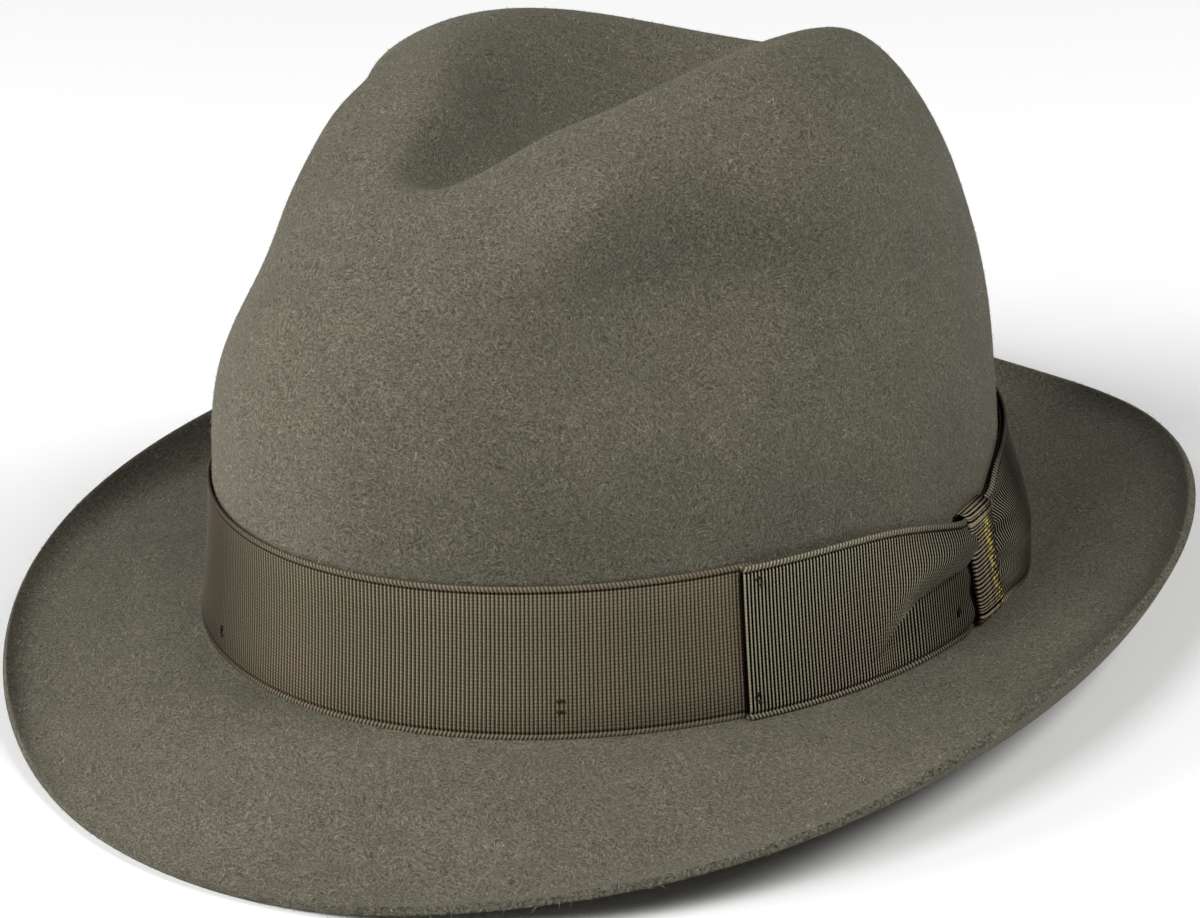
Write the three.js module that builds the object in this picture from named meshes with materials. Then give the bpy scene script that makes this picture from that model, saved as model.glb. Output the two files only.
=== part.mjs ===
// A soft felt trilby: one felt body with a creased crown and a snapped brim, a ribbed ribbon round the
// crown, and a flat side bow of two wings under a wrapped keeper.
// Lengths are millimetres and angles degrees. Angles round the hat start at the front (-Y) and grow
// towards the wearer's left (+X). Heights are taken from the ribbon's lower edge.
import * as THREE from "three";

// Felt body
const crownHalfWidth = 86.8;
const crownHalfLength = 102.8;
const crownHeight = 125;
const dentAngle = 53;
const dentSpread = 25.5;
const brimWidth = 45;
const feltWall = 2;
const breakRadius = 1;

// Ribbon round the crown
const ribbonHeight = 34.6;
const ribbonWall = 0.7;
const ribbonClear = 0.6;
const clearance = 0.3;

// Side bow
const bowAngle = 107;
const keeperWidth = 15;
const keeperWall = 1.2;
const keeperLip = 1;
const cinchDepth = 8;
const cinchFront = 27;
const cinchRear = 20;
const frontWingLength = 65;
const rearWingLength = 66;
const wingWall = 1.6;
const frontPuff = 1.2;
const rearPuff = 3.4;
const loopCrest = 0.32; // share of the rear wing's length at which its loop stands off the most
const loopEdge = 0.55; // share of rearPuff that is left at the ribbon's edges
const pleatDepth = 1.5;
const pleatLength = 34;
const pleatFrom = 0.5; // shares of the ribbon's height where the pleat starts at the keeper and ends
const pleatTo = 0.15;
const pleatFlank = 0.08;

// Rest on a level surface
const restPress = 0.9;

// Crown sections from the ribbon's lower edge to the floor of the crease. side is a share of
// crownHalfWidth, front and back are shares of crownHalfLength, the heights are shares of crownHeight,
// egg narrows the front, dent pulls in the two thumb dents, lean lifts the back left shoulder.
const crownRings = {
  columns: ["at", "side", "front", "back", "egg", "dent", "zFront", "zSide", "zBack", "lean"],
  rows: [
    [0.0, 1.0, 1.0, 1.0, 0.03, 0.0, 0.0, 0.0, 0.0, 0.0],
    [1.0, 0.943, 0.985, 0.946, 0.03, 0.0, 0.28, 0.28, 0.28, 0.0],
    [1.8, 0.903, 0.984, 0.935, 0.02, 0.023, 0.496, 0.496, 0.496, 0.0],
    [2.6, 0.835, 0.879, 0.864, 0.019, 0.095, 0.677, 0.705, 0.686, 0.0],
    [3.4, 0.778, 0.744, 0.747, 0.0, 0.094, 0.786, 0.897, 0.814, 0.01],
    [4.3, 0.419, 0.624, 0.622, 0.153, 0.168, 0.846, 1.019, 0.896, 0.058],
    [5.1, 0.221, 0.536, 0.519, 0.098, 0.099, 0.816, 0.837, 0.871, -0.004],
    [5.9, 0.0, 0.447, 0.427, 0.098, 0.099, 0.767, 0.752, 0.815, 0.0],
    [6.7, -0.221, 0.536, 0.519, 0.098, 0.099, 0.816, 0.837, 0.871, -0.004],
  ],
};

// Brim from the front to the back, mirrored left to right. All are shares of brimWidth: reach is the
// level width, rise the height of the cut edge over the break, curl the part of it in the turned-up edge.
const brimStations = {
  columns: ["angle", "reach", "rise", "curl"],
  rows: [
    [0, 0.992, -0.5, 0.0],
    [30, 1.009, -0.357, 0.1],
    [60, 1.071, -0.076, 0.09],
    [90, 0.917, 0.2, 0.22],
    [120, 0.868, 0.318, 0.15],
    [150, 0.981, 0.342, 0.06],
    [180, 1.1, 0.193, 0.1],
  ],
};
const brimBend = 1.35; // power of the even fall or rise of the brim
const curlBend = 12; // power of the curl, which keeps it close to the cut edge

// Rows of the felt's mesh: crown rows by their place among the rings, brim rows by share of the reach
const feltColumns = 64;
const crownRows = [
  5.9, 5.6, 5.3, 5.05, 4.82, 4.6, 4.4, 4.2, 4.0, 3.78, 3.55,
  3.3, 3.0, 2.7, 2.4, 2.1, 1.75, 1.4, 1.05, 0.7, 0.35, 0.04,
];
const breakRows = [0, 35, 90];
const brimRows = [0.1, 0.24, 0.4, 0.56, 0.7, 0.8, 0.87, 0.92, 0.96, 1];

const radians = THREE.MathUtils.degToRad;
const { clamp, lerp, smoothstep } = THREE.MathUtils;

// Natural cubic spline through the points (xs, ys), as a function of x.
function spline(xs, ys) {
  const n = xs.length;
  const bend = new Array(n).fill(0);
  const spare = new Array(n).fill(0);
  for (let i = 1; i < n - 1; i++) {
    const before = xs[i] - xs[i - 1];
    const after = xs[i + 1] - xs[i];
    const turn = (ys[i + 1] - ys[i]) / after - (ys[i] - ys[i - 1]) / before;
    const pivot = 2 * (before + after) + before * spare[i - 1];
    spare[i] = -after / pivot;
    bend[i] = (6 * turn - before * bend[i - 1]) / pivot;
  }
  for (let i = n - 2; i > 0; i--) bend[i] += spare[i] * bend[i + 1];
  return (x) => {
    let i = 0;
    while (i < n - 2 && x > xs[i + 1]) i++;
    const span = xs[i + 1] - xs[i];
    const b = (x - xs[i]) / span;
    const a = 1 - b;
    const curve = ((a ** 3 - a) * bend[i] + (b ** 3 - b) * bend[i + 1]) * (span * span / 6);
    return a * ys[i] + b * ys[i + 1] + curve;
  };
}

// One curve for each column of a table, as a function of the table's first column.
function curvesOf(columns, rows) {
  const places = rows.map((row) => row[0]);
  const curves = {};
  columns.forEach((name, i) => {
    curves[name] = spline(places, rows.map((row) => row[i]));
  });
  return curves;
}

// The brim's rows go on a little past its front and its back, so that its curves are level there.
const mirrored = (rows, turn) => rows.reverse().map(([angle, ...rest]) => [turn - angle, ...rest]);
const aheadOfFront = mirrored(brimStations.rows.slice(1, 3), 0);
const pastBack = mirrored(brimStations.rows.slice(-3, -1), 360);
const crown = curvesOf(crownRings.columns, crownRings.rows);
const brim = curvesOf(brimStations.columns, [...aheadOfFront, ...brimStations.rows, ...pastBack]);

// Degrees from the front, 0 to 180, on either side.
const fromFront = (angle) => Math.abs(((angle + 540) % 360) - 180);

// A point of the crown's outside: at is its place among the rings.
function crownPoint(at, angle) {
  const c = Math.cos(radians(angle));
  const s = Math.sin(radians(angle));
  const frontShare = smoothstep(c, -1, 1);
  const half = lerp(crown.back(at), crown.front(at), frontShare) * crownHalfLength;
  const dent = 1 - crown.dent(at) * Math.exp(-(((fromFront(angle) - dentAngle) / dentSpread) ** 2));
  const atEnds = (crown.zFront(at) + crown.zBack(at)) / 2;
  const slope = (crown.zFront(at) - crown.zBack(at)) / 2;
  const lean = crown.lean(at) * s * (1 - frontShare);
  const height = lerp(crown.zSide(at), atEnds, c * c) + slope * c + lean;
  return new THREE.Vector3(
    crown.side(at) * crownHalfWidth * s * (1 - crown.egg(at) * c) * dent,
    -half * c * dent,
    height * crownHeight,
  );
}

// Level outward direction of the crown's wall at an angle.
function outward(angle) {
  const step = 0.5; // degrees to either side
  const along = crownPoint(0, angle + step).sub(crownPoint(0, angle - step));
  return new THREE.Vector3(along.y, -along.x, 0).normalize();
}

// The crown's outside at a given height over the ribbon's lower edge, found by halving.
const wallTopRing = 2.6; // the ring at which the wall starts to turn in
const halvings = 40;
function wallPoint(angle, height) {
  let low = 0;
  let high = wallTopRing;
  for (let i = 0; i < halvings; i++) {
    const middle = (low + high) / 2;
    if (crownPoint(middle, angle).z < height) low = middle;
    else high = middle;
  }
  const point = crownPoint(low, angle);
  return point.setZ(Math.min(height, point.z));
}

// A point of the small hollow where the crown turns into the brim, by the degrees turned.
function breakPoint(turned, angle) {
  const out = breakRadius * (1 - Math.cos(radians(turned)));
  const up = breakRadius * (1 - Math.sin(radians(turned)));
  const point = crownPoint(0, angle).addScaledVector(outward(angle), out);
  return point.setZ(up - ribbonClear);
}

// A point of the brim's upper side, by share of its reach.
function brimPoint(share, angle) {
  const turned = fromFront(angle);
  const reach = lerp(breakRadius, brim.reach(turned) * brimWidth, share);
  const curl = brim.curl(turned) * brimWidth;
  const even = brim.rise(turned) * brimWidth - curl;
  const point = crownPoint(0, angle).addScaledVector(outward(angle), reach);
  return point.setZ(even * share ** brimBend + curl * share ** curlBend - ribbonClear);
}

function geometryOf(points, faces) {
  const geometry = new THREE.BufferGeometry().setFromPoints(points);
  geometry.setIndex(faces);
  geometry.computeVertexNormals();
  return geometry;
}

// The felt's upper side as rows of points, from the floor of the crease to the cut edge of the brim.
// The first row is the crease's own line, whose two sides are the same points.
function feltUpperSide() {
  const columns = Array.from({ length: feltColumns }, (_, j) => (j * 360) / feltColumns);
  const rows = [
    ...crownRows.map((at) => columns.map((angle) => crownPoint(at, angle))),
    ...breakRows.map((turned) => columns.map((angle) => breakPoint(turned, angle))),
    ...brimRows.map((share) => columns.map((angle) => brimPoint(share, angle))),
  ];
  const half = feltColumns / 2;
  const points = [...rows[0].slice(0, half + 1), ...rows.slice(1).flat()];
  const index = (row, column) => {
    const j = column % feltColumns;
    return row === 0 ? Math.min(j, feltColumns - j) : half + 1 + (row - 1) * feltColumns + j;
  };
  const faces = [];
  for (let row = 0; row < rows.length - 1; row++) {
    for (let j = 0; j < feltColumns; j++) {
      const [a, b, c, d] = [index(row, j), index(row + 1, j), index(row + 1, j + 1), index(row, j + 1)];
      faces.push(a, b, c, a, c, d);
    }
  }
  const rim = columns.map((_, j) => index(rows.length - 1, j));
  return { points, faces, rim };
}

// Plane of the surface that the hat rests on, in the hat's own frame: it touches the front of the brim
// and the back of the brim's underside alike.
const steepestRest = 30;
function restPlane(points) {
  const lowest = (part, normal) => Math.min(...part.map((point) => point.dot(normal)));
  const front = points.filter((point) => point.y < 0);
  const back = points.filter((point) => point.y >= 0);
  let low = -steepestRest;
  let high = steepestRest;
  for (let i = 0; i < halvings; i++) {
    const tilt = (low + high) / 2;
    const normal = new THREE.Vector3(0, -Math.sin(radians(tilt)), Math.cos(radians(tilt)));
    if (lowest(front, normal) < lowest(back, normal)) low = tilt;
    else high = tilt;
  }
  const normal = new THREE.Vector3(0, -Math.sin(radians(low)), Math.cos(radians(low)));
  return { tilt: low, normal, level: lowest(points, normal) + restPress };
}

// The felt body: the upper side, the same surface one wall further in, and the cut edge between them.
// Soft felt lies flat where it meets the surface.
function feltBody() {
  const { points, faces, rim } = feltUpperSide();
  const normals = geometryOf(points, faces).getAttribute("normal");
  const under = points.map((point, i) =>
    point.clone().addScaledVector(new THREE.Vector3().fromBufferAttribute(normals, i), -feltWall),
  );
  const rest = restPlane(under);
  const settle = (point, level) => {
    const sunk = level - point.dot(rest.normal);
    if (sunk > 0) point.addScaledVector(rest.normal, sunk);
  };
  under.forEach((point) => settle(point, rest.level));
  points.forEach((point) => settle(point, rest.level + feltWall));
  const inner = points.length;
  const all = [...faces];
  for (let i = 0; i < faces.length; i += 3) {
    all.push(faces[i] + inner, faces[i + 2] + inner, faces[i + 1] + inner);
  }
  rim.forEach((a, j) => {
    const b = rim[(j + 1) % rim.length];
    all.push(a, a + inner, b + inner, a, b + inner, b);
  });
  return { geometry: geometryOf([...points, ...under], all), rest };
}

// A curved plate that wraps the crown between two angles, or all the way round. bottom and top give its
// edges at an angle, near and far its two faces' distances from the crown at an angle and a share up.
function wrapPlate({ from, to, columns, rows, bottom, top, near, far }) {
  const closed = to - from === 360;
  const stations = closed ? columns : columns + 1;
  const loop = [];
  for (let i = 0; i <= rows; i++) loop.push({ share: i / rows, face: far });
  for (let i = rows; i >= 0; i--) loop.push({ share: i / rows, face: near });
  const points = [];
  for (let j = 0; j < stations; j++) {
    const angle = lerp(from, to, j / columns);
    for (const { share, face } of loop) {
      const height = lerp(bottom(angle), top(angle), share);
      points.push(wallPoint(angle, height).addScaledVector(outward(angle), face(angle, share)));
    }
  }
  const size = loop.length;
  const faces = [];
  for (let j = 0; j < columns; j++) {
    const here = j * size;
    const next = ((j + 1) % stations) * size;
    for (let i = 0; i < size; i++) {
      const k = (i + 1) % size;
      faces.push(here + i, next + i, next + k, here + i, next + k, here + k);
    }
  }
  if (!closed) {
    const last = columns * size;
    for (let i = 0; i < rows; i++) {
      const k = size - 1 - i;
      faces.push(i, i + 1, k - 1, i, k - 1, k);
      faces.push(last + i, last + k - 1, last + i + 1, last + i, last + k, last + k - 1);
    }
  }
  return geometryOf(points, faces);
}

// Millimetres along the crown at the bow, in degrees round the hat.
const degreeLength = crownPoint(0, bowAngle + 0.5).distanceTo(crownPoint(0, bowAngle - 0.5));
const degreesOf = (length) => length / degreeLength;
const keeperHalf = degreesOf(keeperWidth) / 2;
const frontWingEnd = bowAngle - keeperHalf - degreesOf(frontWingLength);
const rearWingEnd = bowAngle + keeperHalf + degreesOf(rearWingLength);

// The keeper draws the upper edge of the ribbon down, slowly in front of it and fast behind it.
function cinch(angle) {
  const away = angle - bowAngle;
  const reach = degreesOf(away < 0 ? cinchFront : cinchRear);
  return Math.exp(-((away / reach) ** 2));
}
const ribbonTop = (angle) => ribbonHeight - cinchDepth * cinch(angle);
const ribbonBottom = () => 0;

const ribbonFar = clearance + ribbonWall;
const wingNear = ribbonFar + clearance;

// The front wing swells towards the keeper and is folded along a slanting pleat, which runs from the
// middle of the keeper forward and down.
function frontRelief(angle, share) {
  const away = bowAngle - keeperHalf - angle;
  const along = clamp(away / degreesOf(pleatLength), 0, 1);
  const underKeeper = smoothstep(away, 0, degreesOf(keeperWidth / 3));
  const pleat = lerp(pleatFrom, pleatTo, along);
  const fold = smoothstep(share, pleat - pleatFlank, pleat + pleatFlank);
  const fading = 1 - smoothstep(share, pleatFrom, 1);
  const swell = frontPuff * Math.sin(Math.PI * share) * smoothstep(along, 1, 0);
  return (1 - along) * underKeeper * (pleatDepth * fold * fading + swell);
}

// The rear wing is a loop that stands off the ribbon behind the keeper and lies down towards its end.
function rearRelief(angle, share) {
  const away = angle - bowAngle - keeperHalf;
  const along = clamp(away / degreesOf(rearWingLength), 0, 1);
  const loop = smoothstep(along, 0, loopCrest) * (1 - smoothstep(along, loopCrest, 1));
  return rearPuff * loop * lerp(loopEdge, 1, Math.sin(Math.PI * share));
}

const keeperNear = wingNear + wingWall + clearance;
const keeperTop = (angle) => ribbonTop(angle) + clearance + keeperLip;
const keeperBottom = () => -ribbonClear / 3;

const felt = feltBody();
const hat = new THREE.Group();
hat.rotation.x = -radians(felt.rest.tilt);

const feltMaterial = new THREE.MeshStandardMaterial({ color: 0x645f52, roughness: 0.95, metalness: 0 });
const ribbonMaterial = new THREE.MeshStandardMaterial({ color: 0x564e3e, roughness: 0.6, metalness: 0 });
const bowMaterial = new THREE.MeshStandardMaterial({ color: 0x453f33, roughness: 0.6, metalness: 0 });
const keeperMaterial = new THREE.MeshStandardMaterial({ color: 0x5a5240, roughness: 0.55, metalness: 0 });

function addPiece(name, geometry, material) {
  const mesh = new THREE.Mesh(geometry, material);
  mesh.name = name;
  hat.add(mesh);
}

addPiece("felt_body", felt.geometry, feltMaterial);

addPiece(
  "hatband",
  wrapPlate({
    from: 0,
    to: 360,
    columns: 120,
    rows: 2,
    bottom: ribbonBottom,
    top: ribbonTop,
    near: () => clearance,
    far: () => ribbonFar,
  }),
  ribbonMaterial,
);

addPiece(
  "bow_front_wing",
  wrapPlate({
    from: frontWingEnd,
    to: bowAngle - degreesOf(clearance),
    columns: 14,
    rows: 8,
    bottom: ribbonBottom,
    top: ribbonTop,
    near: (angle, share) => wingNear + frontRelief(angle, share) / 2,
    far: (angle, share) => wingNear + wingWall + frontRelief(angle, share),
  }),
  bowMaterial,
);

addPiece(
  "bow_rear_wing",
  wrapPlate({
    from: bowAngle + degreesOf(clearance),
    to: rearWingEnd,
    columns: 14,
    rows: 6,
    bottom: ribbonBottom,
    top: ribbonTop,
    near: (angle, share) => wingNear + rearRelief(angle, share),
    far: (angle, share) => wingNear + wingWall + rearRelief(angle, share),
  }),
  bowMaterial,
);

addPiece(
  "bow_keeper",
  wrapPlate({
    from: bowAngle - keeperHalf,
    to: bowAngle + keeperHalf,
    columns: 4,
    rows: 6,
    bottom: keeperBottom,
    top: keeperTop,
    near: () => keeperNear,
    far: () => keeperNear + keeperWall,
  }),
  keeperMaterial,
);

// The hat stands on z = 0 with its outline centred on the origin.
const model = new THREE.Group();
model.add(hat);
model.updateMatrixWorld(true);
const outline = new THREE.Box3().setFromObject(model, true);
hat.position.set(0, -(outline.min.y + outline.max.y) / 2, -felt.rest.level);

export default model;
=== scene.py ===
import math
import random
from bisect import bisect_left

import bmesh
import bpy
from mathutils import Matrix, Vector, noise
from mathutils.bvhtree import BVHTree


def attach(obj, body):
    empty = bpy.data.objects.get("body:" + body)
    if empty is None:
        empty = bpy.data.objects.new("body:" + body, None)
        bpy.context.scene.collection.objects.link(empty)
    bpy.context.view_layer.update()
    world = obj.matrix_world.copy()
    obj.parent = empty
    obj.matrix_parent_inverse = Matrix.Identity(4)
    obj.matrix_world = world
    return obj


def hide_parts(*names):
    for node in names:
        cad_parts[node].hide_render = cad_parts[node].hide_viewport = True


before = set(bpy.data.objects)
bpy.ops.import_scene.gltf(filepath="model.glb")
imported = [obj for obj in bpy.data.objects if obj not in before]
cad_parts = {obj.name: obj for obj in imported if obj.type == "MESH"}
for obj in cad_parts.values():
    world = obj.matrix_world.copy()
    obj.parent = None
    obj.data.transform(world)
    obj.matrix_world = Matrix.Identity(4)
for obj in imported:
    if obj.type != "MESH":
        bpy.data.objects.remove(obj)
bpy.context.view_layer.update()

mm = 0.001

# The camera stands where the photograph was taken from.
camera = {"place": (0.571264, -0.588574, 0.426995), "turn": (64.5034, 3.4869, 42.6830), "lens": 117.165,
          "sensor": 36}
bpy.ops.object.camera_add(location=camera["place"], rotation=[math.radians(a) for a in camera["turn"]])
bpy.context.object.data.lens = camera["lens"]
bpy.context.object.data.sensor_width = camera["sensor"]
bpy.context.scene.camera = bpy.context.object
print("camera set")

# The hat's own frame has z = 0 at the ribbon's lower edge and its front towards -Y. It leans on the floor.
hatPlace = {"lean": -4.95621, "y": -2.4187, "z": 11.1313}
hatToWorld = Matrix.Translation((0, hatPlace["y"] * mm, hatPlace["z"] * mm)) @ Matrix.Rotation(
    math.radians(hatPlace["lean"]), 4, "X")
worldToHat = hatToWorld.inverted()


def lerp(a, b, t):
    return a + (b - a) * t


def ease(x, low, high):
    t = min(max((x - low) / (high - low), 0), 1)
    return t * t * (3 - 2 * t)


# The value at x of a line through the points (x, y) of a short table.
def lineAt(table, x):
    if x <= table[0][0]:
        return table[0][1]
    for (x0, y0), (x1, y1) in zip(table, table[1:]):
        if x <= x1:
            return lerp(y0, y1, (x - x0) / (x1 - x0))
    return table[-1][1]


def deselectAll():
    if bpy.context.object and bpy.context.object.mode != "OBJECT":
        bpy.ops.object.mode_set(mode="OBJECT")
    bpy.ops.object.select_all(action="DESELECT")


def pick(piece):
    deselectAll()
    piece.select_set(True)
    bpy.context.view_layer.objects.active = piece


def editAll(piece):
    pick(piece)
    bpy.ops.object.mode_set(mode="EDIT")
    bpy.ops.mesh.select_all(action="SELECT")


def applyModifiers(piece):
    pick(piece)
    for modifier in list(piece.modifiers):
        bpy.ops.object.modifier_apply(modifier=modifier.name)


# Materials. A socket that is linked gets the output it is given, any other gets the value.
def addNode(tree, kind, inputs=None, **settings):
    made = tree.nodes.new(kind)
    for name, value in settings.items():
        setattr(made, name, value)
    for name, value in (inputs or {}).items():
        if isinstance(value, bpy.types.NodeSocket):
            tree.links.new(value, made.inputs[name])
        else:
            made.inputs[name].default_value = value
    return made


def mathNode(tree, operation, first, second=0.0, third=0.0):
    made = addNode(tree, "ShaderNodeMath", {0: first, 1: second, 2: third}, operation=operation)
    return made.outputs[0]


def mixColors(tree, factor, first, second, blend="MIX"):
    made = addNode(tree, "ShaderNodeMix", data_type="RGBA", blend_type=blend)
    for socket, value in ((made.inputs[0], factor), (made.inputs[6], first), (made.inputs[7], second)):
        if isinstance(value, bpy.types.NodeSocket):
            tree.links.new(value, socket)
        else:
            socket.default_value = value
    return made.outputs[2]


def rangeNode(tree, value, low, high, atLow=0.0, atHigh=1.0, curve="LINEAR"):
    made = addNode(tree, "ShaderNodeMapRange", {
        "Value": value, "From Min": low, "From Max": high, "To Min": atLow, "To Max": atHigh},
        interpolation_type=curve)
    return made.outputs[0]


# A cosine wave between 0 and 1, which starts at 1, or at 0 where rise is -0.5.
def waveNode(tree, angle, rise=0.5):
    return mathNode(tree, "MULTIPLY_ADD", mathNode(tree, "COSINE", angle), rise, 0.5)


def noiseNode(tree, place, **settings):
    return addNode(tree, "ShaderNodeTexNoise", {"Vector": place, **settings}).outputs["Fac"]


def stretch(tree, place, scale, turn=(0, 0, 0)):
    return addNode(tree, "ShaderNodeMapping", {
        "Vector": place, "Rotation": [math.radians(a) for a in turn], "Scale": scale}).outputs[0]


def rampOf(tree, factor, stops):
    made = addNode(tree, "ShaderNodeValToRGB", {0: factor})
    ramp = made.color_ramp
    while len(ramp.elements) < len(stops):
        ramp.elements.new(0.5)
    for element, (place, color) in zip(ramp.elements, stops):
        element.position = place
        element.color = color
    return made.outputs[0]


def startMaterial(name, **surface):
    material = bpy.data.materials.new(name)
    material.use_nodes = True
    tree = material.node_tree
    shader = tree.nodes["Principled BSDF"]
    for socket, value in surface.items():
        shader.inputs[socket.replace("_", " ")].default_value = value
    return material, tree, shader


def grey(value):
    return (value, value, value, 1)


# What all felt shares: the swirl that bends its hairs, its patches, and how hairs and grain add up.
feltGrain = {"swirlScale": 110, "swirl": 0.012, "patchScale": 55, "hairShare": 0.62, "grainShare": 0.38,
             "sheenTint": (0.86, 0.84, 0.74, 1)}


# Short fur felt: a fine grain, hairs that lie in all directions, and slow patches of tone.
def feltMaterial(name, look):
    material, tree, shader = startMaterial(
        name, Roughness=0.9, Specular_IOR_Level=0.15, Sheen_Weight=look["sheen"],
        Sheen_Roughness=0.45, Sheen_Tint=feltGrain["sheenTint"])
    place = addNode(tree, "ShaderNodeTexCoord").outputs["Object"]
    swirl = addNode(tree, "ShaderNodeTexNoise", {
        "Vector": place, "Scale": feltGrain["swirlScale"], "Detail": 1})
    push = addNode(tree, "ShaderNodeVectorMath", {0: swirl.outputs["Color"], 1: (0.5, 0.5, 0.5)},
                   operation="SUBTRACT")
    push = addNode(tree, "ShaderNodeVectorMath", {0: push.outputs[0], "Scale": feltGrain["swirl"]},
                   operation="SCALE")
    bent = addNode(tree, "ShaderNodeVectorMath", {0: place, 1: push.outputs[0]}, operation="ADD").outputs[0]
    hairs = None
    for turn in look["hairTurns"]:
        laid = stretch(tree, bent, look["hairScale"], turn)
        strands = noiseNode(tree, laid, Scale=1, Detail=2, Roughness=0.6)
        hairs = strands if hairs is None else mathNode(tree, "MAXIMUM", hairs, strands)
    grain = noiseNode(tree, place, Scale=look["grainScale"], Detail=3, Roughness=0.65)
    patches = noiseNode(tree, place, Scale=feltGrain["patchScale"], Detail=3)
    fine = mathNode(tree, "ADD", mathNode(tree, "MULTIPLY", hairs, feltGrain["hairShare"]),
                    mathNode(tree, "MULTIPLY", grain, feltGrain["grainShare"]))
    low, high = look["fineRange"]
    color = rampOf(tree, fine, [(low, (*look["dark"], 1)), (high, (*look["light"], 1))])
    shade = rampOf(tree, patches, [(0.3, grey(1 - look["patch"])), (0.7, grey(1))])
    color = mixColors(tree, 1.0, color, shade, "MULTIPLY")
    tree.links.new(color, shader.inputs["Base Color"])
    bump = addNode(tree, "ShaderNodeBump", {"Height": fine, "Distance": look["bump"] * mm, "Strength": 1.0})
    tree.links.new(bump.outputs[0], shader.inputs["Normal"])
    return material


# The cap and brim of felt, smoothed from the solid.
feltCap = {
    "merge": 0.01, "smoothing": 2, "edgeCrease": 0.8, "sharpEdge": 62, "waver": 0.1, "waverSize": 24,
    # Soft pushes that finish the crown's shape, the same on both sides, in the hat's frame: the middle,
    # the push there, the size and how steep its border is. A push ends at pushReach times its size.
    "pushReach": 2.5,
    "pushes": [
        ((57, -36, 92), (-7.6, 5.2, 0.2), 23, 3),
        ((42, -42, 111), (3.2, -4.0, 1.2), 17, 2),
        ((-10.6, -33, 102), (2.2, 0.3, 3.6), 18, 2),
        ((-27, -24, 120), (-0.4, 0, -1.0), 18, 2),
    ],
    "outside": {
        "dark": (0.05, 0.045, 0.031), "light": (0.2, 0.187, 0.14), "fineRange": (0.47, 0.7), "patch": 0.12,
        "sheen": 0.06, "bump": 0.35, "grainScale": 1900, "hairScale": (700, 2600, 2600),
        "hairTurns": [(0, 0, 20), (15, 70, 100), (80, 10, 150), (40, 130, 60)]},
    "cutEdge": {
        "dark": (0.035, 0.032, 0.022), "light": (0.2, 0.187, 0.14), "fineRange": (0.45, 0.7), "patch": 0.2,
        "sheen": 0.05, "bump": 0.6, "grainScale": 1300, "hairScale": (900, 2200, 2200),
        "hairTurns": [(0, 0, 20), (15, 70, 100), (80, 10, 150)]},
}


# The slots of the cap's materials. The inside has the same felt as the outside.
feltSides = {"outside": 0, "cutEdge": 1, "inside": 2}


def buildFeltCap():
    cap = bpy.data.objects.new("felt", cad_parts["felt_body"].data.copy())
    bpy.context.scene.collection.objects.link(cap)
    cap.data.materials.clear()
    editAll(cap)
    bpy.ops.mesh.customdata_custom_splitnormals_clear()
    bpy.ops.mesh.remove_doubles(threshold=feltCap["merge"] * mm)
    bpy.ops.mesh.tris_convert_to_quads(face_threshold=math.pi, shape_threshold=math.pi)
    bpy.ops.object.mode_set(mode="OBJECT")

    # The cut edge lies between the two sharp lines at the brim's rim. The outside is what is joined
    # to the crown's top without crossing them.
    shape = bmesh.new()
    shape.from_mesh(cap.data)
    crease = shape.edges.layers.float.new("crease_edge")
    sharp = {e for e in shape.edges if len(e.link_faces) == 2
             and e.calc_face_angle() > math.radians(feltCap["sharpEdge"])}
    top = max(shape.faces, key=lambda f: f.calc_center_median().z)
    outside = {top}
    waiting = [top]
    while waiting:
        for edge in waiting.pop().edges:
            if edge not in sharp:
                for face in edge.link_faces:
                    if face not in outside:
                        outside.add(face)
                        waiting.append(face)
    cutEdge = {f for e in sharp for f in e.link_faces if f not in outside
               and any(g in outside for h in f.edges for g in h.link_faces)}
    for edge in sharp:
        if any(f in cutEdge for f in edge.link_faces):
            edge[crease] = feltCap["edgeCrease"]
    for face in shape.faces:
        side = "outside" if face in outside else "cutEdge" if face in cutEdge else "inside"
        face.material_index = feltSides[side]
    print("felt faces outside", len(outside), "cut edge", len(cutEdge), "all", len(shape.faces))
    shape.to_mesh(cap.data)
    shape.free()

    smoother = cap.modifiers.new("smooth", "SUBSURF")
    smoother.levels = smoother.render_levels = feltCap["smoothing"]
    applyModifiers(cap)
    for vertex in cap.data.vertices:
        place = worldToHat @ vertex.co / mm
        moved = Vector()
        for middle, push, size, power in feltCap["pushes"]:
            for side in (1, -1):
                away = (place - Vector((middle[0] * side, *middle[1:]))).length / size
                if away < feltCap["pushReach"]:
                    moved += Vector((push[0] * side, *push[1:])) * math.exp(-(away ** power))
        vertex.co += hatToWorld.to_3x3() @ moved * mm
    normals = [v.normal.copy() for v in cap.data.vertices]
    for vertex, normal in zip(cap.data.vertices, normals):
        lift = noise.noise(vertex.co / (feltCap["waverSize"] * mm)) * feltCap["waver"] * mm
        vertex.co += normal * lift
    pick(cap)
    bpy.ops.object.shade_smooth()
    outsideFelt = feltMaterial("felt outside", feltCap["outside"])
    cap.data.materials.append(outsideFelt)
    cap.data.materials.append(feltMaterial("felt cut edge", feltCap["cutEdge"]))
    cap.data.materials.append(outsideFelt)
    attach(cap, "root")
    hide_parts("felt_body")
    return cap


felt = buildFeltCap()
print("felt built")

# The wall that the ribbon lies on, found on the felt by rays that run inwards from just outside it.
crownWall = {"halfWidth": 86.8, "halfLength": 102.8, "egg": 0.03, "lowest": 2, "startOut": 6, "rayLength": 30}
feltTree = BVHTree.FromPolygons(
    [worldToHat @ v.co for v in felt.data.vertices], [list(p.vertices) for p in felt.data.polygons])


def outwardAt(angle):
    a = math.radians(angle)
    away = Vector((crownWall["halfLength"] * math.sin(a), -crownWall["halfWidth"] * math.cos(a), 0))
    return away.normalized()


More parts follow.
